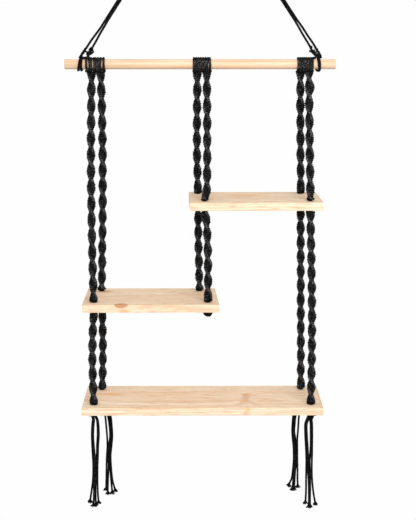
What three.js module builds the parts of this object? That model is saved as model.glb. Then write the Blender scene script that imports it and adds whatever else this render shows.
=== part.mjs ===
// Hanging rope shelf: three pine boards on six knotted ropes under a wooden dowel,
// hung from one cord loop. Millimetres, +Z up, +X right and -Y towards the viewer.
// The origin is where a hook bears inside the hanging loop.
import * as THREE from 'three';

// Boards: the drops are from the dowel's axis down to each board's top face
const boardThickness = 16;
const boardDepth = 160;
const topLength = 265;
const middleLength = 276;
const bottomLength = 493;
const topCentreX = 112;
const middleCentreX = -100;
const bottomCentreX = 4;
const topDrop = 268;
const middleDrop = 474.5;
const bottomDrop = 690;
// How far the hand-sawn ends lean back to the left, from the front edge to the back edge
const topEndSlant = 3.5;
const middleEndSlant = 7;
const bottomEndSlant = 0.4;

// Rope holes: in from the long edges, and in from each end at the front and at the back
const holeDiameter = 10;
const holeEdgeInset = 25;
const topLeftFrontInset = 29.5;
const topLeftBackInset = 16;
const topRightFrontInset = 24.5;
const topRightBackInset = 35.5;
const middleLeftFrontInset = 22;
const middleLeftBackInset = 30;
const middleRightFrontInset = 22.5;
const middleRightBackInset = 39.5;
const bottomLeftFrontInset = 23.5;
const bottomLeftBackInset = 32.5;
const bottomRightFrontInset = 23.5;
const bottomRightBackInset = 35.5;

// Dowel
const dowelLength = 541;
const dowelDiameter = 20;
const dowelChamfer = 1;

// Cord and the twisted ropes knotted from four lengths of it
const cordDiameter = 4;
const ropeWidth = 16;
const ropeThickness = 8.4;
const upperHalfTurn = 32.5;
const lowerHalfTurn = 30.5;
const ropeShoulder = 3;
const ropeNeck = 2.4;
const clearance = 0.3;

// Where each rope hangs on the dowel: in from its ends, and from its middle
const leftFrontHitchInset = 53.5;
const leftBackHitchInset = 71.5;
const rightBackHitchInset = 70;
const rightFrontHitchInset = 52.8;
const leftFrontHitchX = -dowelLength / 2 + leftFrontHitchInset;
const leftBackHitchX = -dowelLength / 2 + leftBackHitchInset;
const centreBackHitchX = -5.7;
const centreFrontHitchX = 13.1;
const rightBackHitchX = dowelLength / 2 - rightBackHitchInset;
const rightFrontHitchX = dowelLength / 2 - rightFrontHitchInset;
const hitchWraps = 4;
const hitchGrooveShare = 0.45;
const hitchCrestShare = 0.28;

// Knots
const supportKnotDiameter = 15;
const supportKnotHeight = 5;
const endKnotDiameter = 19;
const endKnotHeight = 12;
const tasselKnotDiameter = 15;
const tasselKnotHeight = 7.5;

// Suspension: cord pairs from the dowel to one knot, and a loop above it
const apexHeight = 368.5;
const loopHeight = 48;
const loopWidth = 24;
const loopFootShare = 0.25;
const loopWaistShare = 0.45;
const apexKnotDiameter = 23;
const wrapInset = 34.5;
const wrapX = dowelLength / 2 - wrapInset;
const wrapTurns = 2;
const innerKnotInset = 55.5;
const innerKnotX = dowelLength / 2 - innerKnotInset;
const innerKnotHeight = 24;
const innerKnotLength = 21;
const innerKnotWidth = 13;
const innerKnotTiltDegrees = 45;
const pairJoinInset = 79.5;
const pairJoinX = dowelLength / 2 - pairJoinInset;
const pairJoinHeight = 79;
const pairShare = 0.78;
const pairWaistShare = 0.55;

// A knot's outline, from its lowest point up to its shoulder: across and down
const knotShares = [[0, 1], [0.52, 0.86], [0.85, 0.55], [1, 0.24], [0.92, 0]];

// Numbers of faces
const cordSides = 8;
const ropeSides = 8;
const stepsPerHalfTurn = 4;
const knotSides = 10;
const dowelSides = 24;
const holeSides = 12;
const hitchSides = 12;
const wrapStepsPerTurn = 12;
const loopSteps = 16;
const legSteps = 8;
const knotRows = 8;

// Tassels: each row is the depth below the bottom board and the four strands'
// sideways places from the rope's hole
const tasselRoutes = {
  left_front: [
    [16, -3.2, -0.2, 4.8, 7.4],
    [26, -4.4, -1.2, 6, 8.6],
    [49, -5.8, -2.6, 6.2, 9],
    [73, -5.4, -1.6, 4.6, 7.2],
    [95, -4.6, -0.2, 3.6, 6.4],
    [116, -4, -1, 1, 5.2],
    [147, -5.2, -2.4, 0.2, 4.6],
    [170, -8.2, -3, -0.2, 4.8],
    [194, -11.6, -4.4, 0, 6],
  ],
  left_back: [
    [16, -3.6, 0, 3.2, 7],
    [26, 1.2, 5.4, 8.4, 12],
    [45, 5, 11.4, 14.4, 17.4],
    [64, 6.6, 14, 16.6, 19],
    [87, 8.2, 15.2, 17.6, 20],
    [110, 8.8, 12.2, 15.2, 18],
    [130, 7.4, 10.6, 13.2, 15.8],
    [150, 6.4, 11, 13.6, 16],
    [188, 5.2, 9.2, 15.4, 19],
    [210, 4.4, 8.4, 17.6, 24],
  ],
  right_back: [
    [16, -7, -4, -0.6, 2.6],
    [26, -11.6, -8.6, -5.6, -0.6],
    [45, -15.6, -12.8, -10.4, -3.6],
    [64, -17, -14.2, -12, -4.6],
    [80, -17.4, -15, -12.8, -5.4],
    [94, -16.4, -14, -10.6, -6.4],
    [114, -14.2, -11.6, -9, -6.2],
    [146, -13.4, -10.8, -8.2, -5.6],
    [168, -15, -12.2, -9.6, -5],
    [188, -17.6, -13.8, -10.6, -4.8],
    [202, -23, -16, -11.4, -4],
  ],
  right_front: [
    [16, -7.4, -4.6, -0.8, 2.2],
    [26, -10.8, -8, 0.2, 3],
    [50, -10.6, -7.4, 0.8, 3.6],
    [74, -9, -5.6, 1, 3.8],
    [92, -8, -4.4, 0.4, 3.8],
    [108, -7.4, -4.2, -0.6, 3.6],
    [128, -7.4, -3.8, 0, 3.8],
    [148, -7.4, -2.6, 0.8, 4.8],
    [165, -7.2, -1.8, 1.4, 6.6],
    [182, -7.4, -1.4, 1.4, 9],
    [198, -8, -1.2, 1.6, 12],
  ],
};
// Each strand's place in the tassel, across where it leaves the knot and front to back,
// and how much longer its foot hangs
const strandStarts = [-3.6, -1.2, 1.2, 3.6];
const strandRows = [2.3, -2.3, 2.3, -2.3];
const strandFeet = [-2, 5, 6, -1];
const strandStub = 2;
const strandStepDiameters = 3;

const materials = {
  pine: { color: '#e6cbae', roughness: 0.6, metalness: 0 },
  dowel_wood: { color: '#eccfa8', roughness: 0.55, metalness: 0 },
  cord: { color: '#1b1a1a', roughness: 0.95, metalness: 0 },
};

const dowelRadius = dowelDiameter / 2;
const hitchOuter = dowelRadius + 2 * clearance + cordDiameter;
const ropeTop = -(hitchOuter + clearance);
const holeY = boardDepth / 2 - holeEdgeInset;
const hangDrop = apexHeight + loopHeight;

const shelf = new THREE.Group();
const hung = new THREE.Group();
hung.position.z = -hangDrop;
shelf.add(hung);

function addPiece(name, geometry, materialName, parent = hung) {
  const mesh = new THREE.Mesh(geometry, new THREE.MeshStandardMaterial(materials[materialName]));
  mesh.name = name;
  parent.add(mesh);
  return mesh;
}

// A closed solid from rings of points that all have the same count
function ringSolid(rings) {
  const sides = rings[0].length;
  const points = rings.flat();
  const start = rings[0].reduce((sum, p) => sum.add(p), new THREE.Vector3()).divideScalar(sides);
  const lastRing = rings[rings.length - 1];
  const end = lastRing.reduce((sum, p) => sum.add(p), new THREE.Vector3()).divideScalar(sides);
  const index = [];
  const startIndex = points.length;
  const endIndex = points.length + 1;
  for (let r = 0; r < rings.length - 1; r++) {
    for (let s = 0; s < sides; s++) {
      const a = r * sides + s;
      const b = r * sides + (s + 1) % sides;
      index.push(a, a + sides, b, b, a + sides, b + sides);
    }
  }
  const base = (rings.length - 1) * sides;
  for (let s = 0; s < sides; s++) {
    index.push(startIndex, s, (s + 1) % sides);
    index.push(endIndex, base + (s + 1) % sides, base + s);
  }
  const geometry = new THREE.BufferGeometry().setFromPoints([...points, start, end]);
  geometry.setIndex(index);
  geometry.computeVertexNormals();
  return geometry;
}

// A round cord along a curve
function cordAlong(curve, steps, sides = cordSides) {
  const section = new THREE.Shape();
  for (let s = 0; s < sides; s++) {
    const angle = (s / sides) * 2 * Math.PI;
    const x = (cordDiameter / 2) * Math.cos(angle);
    const y = (cordDiameter / 2) * Math.sin(angle);
    if (s === 0) section.moveTo(x, y);
    else section.lineTo(x, y);
  }
  section.closePath();
  return new THREE.ExtrudeGeometry(section, { steps, extrudePath: curve, bevelEnabled: false });
}

// A solid turned about the vertical: rows of [radius, height] from the bottom up
function turned(rows, sides = knotSides) {
  const profile = rows.map(([radius, height]) => new THREE.Vector2(radius, height));
  const geometry = new THREE.LatheGeometry(profile, sides);
  geometry.rotateX(Math.PI / 2);
  return geometry;
}

// Boards
function makeBoard(spec) {
  const left = spec.centreX - spec.length / 2;
  const right = spec.centreX + spec.length / 2;
  const front = -boardDepth / 2;
  const back = boardDepth / 2;
  const outline = new THREE.Shape();
  outline.moveTo(left, front);
  outline.lineTo(right, front);
  outline.lineTo(right - spec.rightSlant, back);
  outline.lineTo(left - spec.leftSlant, back);
  outline.closePath();
  for (const hole of Object.values(spec.holes)) {
    const ring = new THREE.Path();
    for (let s = 0; s < holeSides; s++) {
      const angle = -(s / holeSides) * 2 * Math.PI;
      const x = hole.x + (holeDiameter / 2) * Math.cos(angle);
      const y = hole.y + (holeDiameter / 2) * Math.sin(angle);
      if (s === 0) ring.moveTo(x, y);
      else ring.lineTo(x, y);
    }
    ring.closePath();
    outline.holes.push(ring);
  }
  const solid = new THREE.ExtrudeGeometry(outline, { depth: boardThickness, bevelEnabled: false });
  const board = addPiece(`${spec.name}_board`, solid, 'pine');
  board.position.z = -spec.drop - boardThickness;
}

function boardSpec(name, length, centreX, drop, [leftSlant, rightSlant], insets) {
  const left = centreX - length / 2;
  const right = centreX + length / 2;
  const holes = {
    left_front: { x: left + insets.leftFront, y: -holeY },
    left_back: { x: left + insets.leftBack, y: holeY },
    right_front: { x: right - insets.rightFront, y: -holeY },
    right_back: { x: right - insets.rightBack, y: holeY },
  };
  return { name, length, centreX, drop, leftSlant, rightSlant, holes };
}

const topSlants = [topEndSlant, topEndSlant];
const middleSlants = [0, middleEndSlant];
const bottomSlants = [bottomEndSlant, bottomEndSlant];

const top = boardSpec('top', topLength, topCentreX, topDrop, topSlants, {
  leftFront: topLeftFrontInset,
  leftBack: topLeftBackInset,
  rightFront: topRightFrontInset,
  rightBack: topRightBackInset,
});
const middle = boardSpec('middle', middleLength, middleCentreX, middleDrop, middleSlants, {
  leftFront: middleLeftFrontInset,
  leftBack: middleLeftBackInset,
  rightFront: middleRightFrontInset,
  rightBack: middleRightBackInset,
});
const bottom = boardSpec('bottom', bottomLength, bottomCentreX, bottomDrop, bottomSlants, {
  leftFront: bottomLeftFrontInset,
  leftBack: bottomLeftBackInset,
  rightFront: bottomRightFrontInset,
  rightBack: bottomRightBackInset,
});

// Dowel
function makeDowel() {
  const half = dowelLength / 2;
  const tipRadius = dowelRadius - dowelChamfer;
  const rows = [
    [0, -half],
    [tipRadius, -half],
    [dowelRadius, -half + dowelChamfer],
    [dowelRadius, half - dowelChamfer],
    [tipRadius, half],
    [0, half],
  ];
  const solid = turned(rows, dowelSides);
  solid.rotateY(Math.PI / 2);
  addPiece('dowel', solid, 'dowel_wood');
}

// Hitch: wraps of cord side by side round the dowel
function makeHitch(name, x) {
  const inner = (dowelRadius + clearance) / Math.cos(Math.PI / hitchSides);
  const groove = inner + cordDiameter * hitchGrooveShare;
  const halfWidth = hitchWraps * cordDiameter / 2;
  const rows = [[inner, -halfWidth]];
  for (let w = 0; w < hitchWraps; w++) {
    const edge = w * cordDiameter - halfWidth;
    const centre = edge + cordDiameter / 2;
    rows.push([groove, edge]);
    rows.push([hitchOuter, centre - cordDiameter * hitchCrestShare]);
    rows.push([hitchOuter, centre + cordDiameter * hitchCrestShare]);
  }
  rows.push([groove, halfWidth]);
  rows.push([inner, halfWidth]);
  rows.push(rows[0]);
  const solid = turned(rows, hitchSides);
  solid.rotateY(Math.PI / 2);
  addPiece(name, solid, 'cord').position.x = x;
}

// Rope: four cords knotted into a flat band that turns half round every half turn,
// with a straight round neck that stands over its hole
function makeRope(name, from, to, halfTurn, firstWaist) {
  const length = from.z - to.z;
  const neckStart = length - ropeNeck;
  const bandLength = neckStart - 2 * ropeShoulder;
  const steps = Math.ceil((length / halfTurn) * stepsPerHalfTurn);
  const neckRadius = holeDiameter / 2 - clearance;
  const depths = [0];
  for (let i = 0; i <= steps; i++) depths.push(ropeShoulder + (i / steps) * bandLength);
  depths.push(neckStart, length);
  const rings = depths.map((depth) => {
    const centre = new THREE.Vector3().lerpVectors(from, to, Math.min(1, depth / neckStart));
    centre.z = from.z - depth;
    const angle = Math.PI / 2 + Math.PI * (depth - firstWaist) / halfTurn;
    const atEnd = depth === 0 || depth >= neckStart;
    const halfWidth = atEnd ? neckRadius : ropeWidth / 2;
    const halfThickness = atEnd ? neckRadius : ropeThickness / 2;
    const ring = [];
    for (let s = 0; s < ropeSides; s++) {
      const t = (s / ropeSides) * 2 * Math.PI;
      const u = halfWidth * Math.cos(t);
      const v = halfThickness * Math.sin(t);
      const x = u * Math.cos(angle) - v * Math.sin(angle);
      const y = u * Math.sin(angle) + v * Math.cos(angle);
      ring.push(new THREE.Vector3(centre.x + x, centre.y + y, centre.z));
    }
    return ring;
  });
  addPiece(name, ringSolid(rings), 'cord');
}

const hitchPoint = (x) => new THREE.Vector3(x, 0, ropeTop);
const abovePoint = (board, hole) =>
  new THREE.Vector3(board.holes[hole].x, board.holes[hole].y, -board.drop + clearance);
const belowPoint = (board, hole) => new THREE.Vector3(
  board.holes[hole].x,
  board.holes[hole].y,
  -board.drop - boardThickness - supportKnotHeight - 2 * clearance,
);

// Each rope: its hitch on the dowel, then its holes, and where its first waist lies below each start
const waistShares = {
  left_front_upper: 0.55,
  left_back_upper: 0.61,
  centre_back_upper: 0.62,
  centre_front_upper: 0.55,
  right_back_upper: 0.57,
  right_front_upper: 0.45,
  left_front_lower: 0.74,
  left_back_lower: 0.57,
  centre_back_lower: 0.48,
  centre_front_lower: 0.97,
  right_back_lower: 0.2,
  right_front_lower: 0.67,
};

function makeRopes() {
  const upper = (name, hitchX, board, hole) => makeRope(
    `${name}_upper_rope`,
    hitchPoint(hitchX),
    abovePoint(board, hole),
    upperHalfTurn,
    waistShares[`${name}_upper`] * upperHalfTurn,
  );
  const lower = (name, board, hole, nextBoard, nextHole) => makeRope(
    `${name}_lower_rope`,
    belowPoint(board, hole),
    abovePoint(nextBoard, nextHole),
    lowerHalfTurn,
    waistShares[`${name}_lower`] * lowerHalfTurn,
  );
  upper('left_front', leftFrontHitchX, middle, 'left_front');
  upper('left_back', leftBackHitchX, middle, 'left_back');
  upper('centre_back', centreBackHitchX, top, 'left_back');
  upper('centre_front', centreFrontHitchX, top, 'left_front');
  upper('right_back', rightBackHitchX, top, 'right_back');
  upper('right_front', rightFrontHitchX, top, 'right_front');
  lower('left_front', middle, 'left_front', bottom, 'left_front');
  lower('left_back', middle, 'left_back', bottom, 'left_back');
  lower('centre_front', top, 'left_front', middle, 'right_front');
  lower('centre_back', top, 'left_back', middle, 'right_back');
  lower('right_front', top, 'right_front', bottom, 'right_front');
  lower('right_back', top, 'right_back', bottom, 'right_back');
}

// Knot under a board: its neck fills the hole and the board rests on its shoulder
function makeBoardKnot(name, board, hole, diameter, height) {
  const neck = holeDiameter / 2 - clearance;
  const radius = diameter / 2;
  const rows = knotShares.map(([across, down]) => [across * radius, -clearance - down * height]);
  rows.push([neck, -clearance], [neck, boardThickness], [0, boardThickness]);
  const knot = addPiece(name, turned(rows), 'cord');
  const place = board.holes[hole];
  knot.position.set(place.x, place.y, -board.drop - boardThickness);
}

function makeBoardKnots() {
  const support = [supportKnotDiameter, supportKnotHeight];
  const end = [endKnotDiameter, endKnotHeight];
  const tassel = [tasselKnotDiameter, tasselKnotHeight];
  for (const hole of ['left_front', 'left_back', 'right_front', 'right_back']) {
    const middleSize = hole.startsWith('left') ? support : end;
    makeBoardKnot(`top_board_${hole}_knot`, top, hole, ...support);
    makeBoardKnot(`middle_board_${hole}_knot`, middle, hole, ...middleSize);
    makeBoardKnot(`bottom_board_${hole}_knot`, bottom, hole, ...tassel);
  }
}

// Where a strand leaves its tassel knot, square to the knot's round underside
function strandExit(across, depthways) {
  const halfWidth = tasselKnotDiameter / 2 + 2 * clearance;
  const height = tasselKnotHeight + 2 * clearance;
  const down = height * Math.sqrt(1 - (across ** 2 + depthways ** 2) / halfWidth ** 2);
  const exit = new THREE.Vector3(across, depthways, -down);
  const outward = new THREE.Vector3(across, depthways, 0).divideScalar(halfWidth ** 2);
  outward.z = -down / height ** 2;
  return [exit, exit.clone().addScaledVector(outward.normalize(), strandStub)];
}

// Tassel strands: the four cord ends that hang below each bottom knot
function makeTassels() {
  for (const [hole, rows] of Object.entries(tasselRoutes)) {
    const place = new THREE.Vector3(
      bottom.holes[hole].x,
      bottom.holes[hole].y,
      -bottom.drop - boardThickness,
    );
    for (let s = 0; s < strandRows.length; s++) {
      const points = rows.map((row) => new THREE.Vector3(row[s + 1], strandRows[s], -row[0]));
      points[points.length - 1].z -= strandFeet[s];
      points.unshift(...strandExit(strandStarts[s], strandRows[s]));
      const curve = new THREE.CatmullRomCurve3(points, false, 'centripetal');
      const steps = Math.round(curve.getLength() / (strandStepDiameters * cordDiameter));
      const strand = addPiece(`${hole}_tassel_strand_${s + 1}`, cordAlong(curve, steps), 'cord');
      strand.position.copy(place);
    }
  }
}

// Suspension: on each side an outer cord wrapped round the dowel and an inner cord in a knot
function makeWrap(name, side) {
  const radius = (dowelRadius + clearance) / Math.cos(Math.PI / wrapStepsPerTurn) + cordDiameter / 2;
  const pitch = cordDiameter + clearance;
  const points = [];
  const count = wrapTurns * wrapStepsPerTurn;
  for (let i = 0; i <= count; i++) {
    const turn = i / wrapStepsPerTurn;
    const angle = turn * 2 * Math.PI;
    const x = side * (wrapX + (turn - wrapTurns / 2) * pitch);
    points.push(new THREE.Vector3(x, -radius * Math.sin(angle), radius * Math.cos(angle)));
  }
  const curve = new THREE.CatmullRomCurve3(points, false, 'centripetal');
  addPiece(name, cordAlong(curve, count), 'cord');
}

function makeInnerKnot(name, side) {
  const knot = new THREE.SphereGeometry(1, knotSides, knotRows);
  knot.scale(innerKnotLength / 2, innerKnotWidth / 2, innerKnotWidth / 2);
  const mesh = addPiece(name, knot, 'cord');
  mesh.position.set(side * innerKnotX, 0, innerKnotHeight);
  mesh.rotation.y = -side * THREE.MathUtils.degToRad(innerKnotTiltDegrees);
}

function makeLegs(sideName, side) {
  const apex = new THREE.Vector3(0, 0, apexHeight);
  const join = new THREE.Vector3(side * pairJoinX, 0, pairJoinHeight);
  const up = new THREE.Vector3().subVectors(apex, join).normalize();
  const across = new THREE.Vector3(up.z, 0, -up.x).multiplyScalar(side);
  const spacing = (cordDiameter + clearance) / 2;
  const outerFoot = new THREE.Vector3(side * wrapX, 0, hitchOuter + cordDiameter / 2 + clearance);
  const innerFoot = new THREE.Vector3(side * innerKnotX, 0, innerKnotHeight);
  const footGap = innerKnotLength / 2 + clearance;
  const knotReach = apexKnotDiameter / 2 + clearance;
  const legs = { outer: [outerFoot, 1, 0], inner: [innerFoot, -1, footGap] };
  for (const [legName, [foot, sign, gap]] of Object.entries(legs)) {
    const offset = across.clone().multiplyScalar(sign * spacing * pairShare);
    offset.y = sign * spacing * pairShare;
    const middlePoint = join.clone().add(offset);
    const onward = new THREE.Vector3().subVectors(middlePoint, foot).normalize();
    const start = foot.clone().addScaledVector(onward, gap);
    const end = apex.clone().addScaledVector(up, -knotReach).add(offset);
    const bend = new THREE.CatmullRomCurve3([start, middlePoint, end], false, 'centripetal');
    addPiece(`${sideName}_${legName}_suspension_cord`, cordAlong(bend, legSteps), 'cord');
  }
}

function makeHanger() {
  const knot = new THREE.SphereGeometry(1, knotSides, knotRows);
  knot.scale(apexKnotDiameter / 2, apexKnotDiameter / 2, apexKnotDiameter / 2);
  addPiece('hanging_knot', knot, 'cord').position.z = apexHeight;
  const topZ = apexHeight + loopHeight + cordDiameter / 2;
  const footX = loopWidth * loopFootShare;
  const footReach = apexKnotDiameter / 2 + 2 * clearance;
  const footZ = apexHeight + Math.sqrt(footReach ** 2 - footX ** 2);
  const shoulderZ = topZ - loopWidth / 2;
  const waistZ = (footZ + shoulderZ) / 2;
  const points = [
    new THREE.Vector3(-footX, 0, footZ),
    new THREE.Vector3(-loopWidth * loopWaistShare, 0, waistZ),
    new THREE.Vector3(-loopWidth / 2, 0, shoulderZ),
    new THREE.Vector3(0, 0, topZ),
    new THREE.Vector3(loopWidth / 2, 0, shoulderZ),
    new THREE.Vector3(loopWidth * loopWaistShare, 0, waistZ),
    new THREE.Vector3(footX, 0, footZ),
  ];
  const curve = new THREE.CatmullRomCurve3(points, false, 'centripetal');
  const depthways = new THREE.Vector3(0, 1, 0);
  const rings = [];
  for (let i = 0; i <= loopSteps; i++) {
    const centre = curve.getPointAt(i / loopSteps);
    const outward = new THREE.Vector3().crossVectors(curve.getTangentAt(i / loopSteps), depthways);
    rings.push(pairSection().map(([u, v]) => centre.clone()
      .addScaledVector(outward, u)
      .addScaledVector(depthways, v)));
  }
  addPiece('hanging_loop', ringSolid(rings), 'cord');
}

// Outline of two cords lying side by side as one solid, as [across, depthways] points
function pairSection() {
  const radius = cordDiameter / 2;
  const waist = radius * pairWaistShare;
  const degrees = [60, 100, 140, 180, 220, 260, 300];
  const around = (degree, side) => {
    const angle = THREE.MathUtils.degToRad(degree);
    return [radius * Math.sin(angle), side * radius * (1 - Math.cos(angle))];
  };
  const back = degrees.map((degree) => around(degree, 1));
  const front = degrees.toReversed().map((degree) => around(degree, -1));
  return [[waist, 0], ...back, [-waist, 0], ...front];
}

for (const board of [top, middle, bottom]) makeBoard(board);
makeDowel();
makeHitch('left_front_hitch', leftFrontHitchX);
makeHitch('left_back_hitch', leftBackHitchX);
makeHitch('centre_back_hitch', centreBackHitchX);
makeHitch('centre_front_hitch', centreFrontHitchX);
makeHitch('right_back_hitch', rightBackHitchX);
makeHitch('right_front_hitch', rightFrontHitchX);
makeRopes();
makeBoardKnots();
makeTassels();
for (const [sideName, side] of [['left', -1], ['right', 1]]) {
  makeWrap(`${sideName}_dowel_wrap`, side);
  makeInnerKnot(`${sideName}_dowel_knot`, side);
  makeLegs(sideName, side);
}
makeHanger();

export default shelf;
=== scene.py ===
import math
import random

import bpy
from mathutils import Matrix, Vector


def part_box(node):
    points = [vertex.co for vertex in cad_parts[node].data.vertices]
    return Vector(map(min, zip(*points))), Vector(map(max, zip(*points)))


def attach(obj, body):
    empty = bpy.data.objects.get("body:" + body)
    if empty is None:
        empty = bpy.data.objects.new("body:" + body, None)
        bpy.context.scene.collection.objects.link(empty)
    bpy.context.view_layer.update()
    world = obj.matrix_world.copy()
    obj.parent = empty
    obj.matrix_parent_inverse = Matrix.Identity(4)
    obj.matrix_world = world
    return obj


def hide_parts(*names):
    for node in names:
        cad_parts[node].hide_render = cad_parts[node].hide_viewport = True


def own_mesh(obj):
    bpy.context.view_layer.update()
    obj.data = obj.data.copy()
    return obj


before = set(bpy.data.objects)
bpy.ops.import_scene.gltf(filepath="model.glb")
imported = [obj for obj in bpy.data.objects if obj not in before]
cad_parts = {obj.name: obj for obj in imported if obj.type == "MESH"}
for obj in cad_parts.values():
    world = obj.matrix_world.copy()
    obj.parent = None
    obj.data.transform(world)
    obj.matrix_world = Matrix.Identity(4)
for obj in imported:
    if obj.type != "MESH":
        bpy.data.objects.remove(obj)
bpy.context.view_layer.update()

# Lengths are in millimetres from the middle of the dowel's axis, and become metres in place()
MM = 0.001
dowel_low, dowel_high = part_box("dowel")
DOWEL_CENTRE = (Vector(dowel_low) + Vector(dowel_high)) / 2
DOWEL_RADIUS = (dowel_high[2] - dowel_low[2]) / 2 / MM
DOWEL_HALF = (dowel_high[0] - dowel_low[0]) / 2 / MM
DOWEL_SIDES = 64
DOWEL_CHAMFER = 1.0
DOWEL_CHAMFER_STEPS = 4
DOWEL_SHARP_DEGREES = 40

# Cord
CORD_DIAMETER = 4.0
CORD_RADIUS = CORD_DIAMETER / 2
CORD_SIDES = 12
CORD_STEP = 1.0
PLY_COUNT = 3
PLY_PITCH = 12.0
PLY_DEPTH = 0.1
PLY_ROUNDNESS = 0.8
END_CAP_SHARE = 0.4
# The painted light level of cords with no painted highlight or shade: their tone stays about as it is
PAINTED_LIGHT_ELSEWHERE = 0.3

# Spiral ropes: two cords knotted round two others, in a band that turns as it goes down
ROPE_HALF_WIDTH = 7.0
ROPE_HALF_THICKNESS = 3.4
ROPE_CORD_SIDES = 8
ROPE_STEPS_PER_KNOT = 8
KNOTS_PER_HALF_TURN = 7
FILLER_PLACE = 2.4
FILLER_RADIUS = 2.2
FILLER_STEP = 4.0
BAR_HALF_DEPTH = 1.75
BAR_HALF_HEIGHT = 2.3
BAR_POWER = 1.5
EDGE_RADIUS = 2.15
LEVEL_SHARE = 0.72
# How narrow the painted highlight is along the rope's edges
PAINTED_HIGHLIGHT_NARROW = 2.2
WIDE_POWER = 0.75
THICK_POWER = 0.6
UNEVEN = 0.07
TOP_FLARE = 6.0
TOP_FLARE_SHARE = 1.1
FOOT_HEIGHT = 5.0
FOOT_CLEARANCE = 1.7
FOOT_TUCK = 3.0
FOOT_INWARD = 0.55
FOOT_TUCK_INWARD = 0.35
FOOT_SPREAD_HEIGHT = 10.0
FOOT_SPREAD_RISE = 4.0
FOOT_SPREAD = 0.85
FOOT_TAPER_HEIGHT = 5.0
FOOT_TAPER = 0.2
LATE_BEND = 26.0

# Board edges and holes
BOARD_EDGE = 0.7
BOARD_EDGE_STEPS = 3
BOARD_SHARP_DEGREES = 30
HOLES = ("left_front", "left_back", "right_front", "right_back")
HOLE_RADIUS = 5.0
HOLE_EDGE_SIDES = 40

# Board knots: a drop is below the board, and a rise is above the knot's foot
HOLE_CORD_PLACE = 2.2
HOLE_CORD_RADIUS = 1.95
KNOT_COIL_RADIUS = 5.4
COIL_CORD_RADIUS = 1.85
COIL_STEPS_PER_TURN = 24
COIL_DROP = 1.9
SUPPORT_COIL_TURNS = 1.35
SUPPORT_COIL_RISE = 1.6
SUPPORT_CORDS_RISE = 1.0
END_COIL_TURNS = 1.5
END_CORDS_RISE = 8.0
TASSEL_COIL_TURNS = 1.7
TASSEL_COIL_RISE = 1.8
TASSEL_CORD_SAG = 1.2

seeded = random.Random(11)


def place(point):
    return Vector(point) * MM + DOWEL_CENTRE


def box_mm(node):
    low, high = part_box(node)
    return (Vector(low) - DOWEL_CENTRE) / MM, (Vector(high) - DOWEL_CENTRE) / MM


def centre_mm(node):
    low, high = box_mm(node)
    return (low + high) / 2


# Camera
CAMERA_LENS = 88.51
CAMERA_SENSOR = 36.0
CAMERA_PLACE = (-0.00193, -2.58139, -0.32032)
CAMERA_DOWN_DEGREES = 10.84
CAMERA_TURN_DEGREES = -0.39


def make_camera():
    data = bpy.data.cameras.new("camera")
    data.lens = CAMERA_LENS
    data.sensor_width = CAMERA_SENSOR
    camera = bpy.data.objects.new("camera", data)
    camera.location = CAMERA_PLACE
    tilt = math.radians(90 - CAMERA_DOWN_DEGREES)
    camera.rotation_euler = (tilt, 0, math.radians(CAMERA_TURN_DEGREES))
    bpy.context.scene.collection.objects.link(camera)
    bpy.context.scene.camera = camera


make_camera()


# Paths
SHORTEST_STEP = 1e-6
CENTRIPETAL_POWER = 0.5


def catmull_rom(points, step=CORD_STEP):
    """A smooth path through the points, with a point about every step."""
    points = [Vector(point) for point in points]
    points = [2 * points[0] - points[1], *points, 2 * points[-1] - points[-2]]
    path = [points[1]]
    for a, b, c, d in zip(points, points[1:], points[2:], points[3:]):
        times = [0.0]
        for start, end in ((a, b), (b, c), (c, d)):
            times.append(times[-1] + max((end - start).length, SHORTEST_STEP) ** CENTRIPETAL_POWER)
        count = max(1, round((c - b).length / step))
        for i in range(1, count + 1):
            path.append(blended(a, b, c, d, times, i / count))
    return path


def blended(a, b, c, d, times, share):
    """The place at a share of the way from b to c."""
    t0, t1, t2, t3 = times
    t = t1 + (t2 - t1) * share
    ab = a.lerp(b, (t - t0) / (t1 - t0))
    bc = b.lerp(c, (t - t1) / (t2 - t1))
    cd = c.lerp(d, (t - t2) / (t3 - t2))
    first = ab.lerp(bc, (t - t0) / (t2 - t0))
    second = bc.lerp(cd, (t - t1) / (t3 - t1))
    return first.lerp(second, (t - t1) / (t2 - t1))


def smooth(share):
    share = min(1.0, max(0.0, share))
    return share * share * (3 - 2 * share)


def signed_power(value, power):
    return math.copysign(abs(value) ** power, value)


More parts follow.
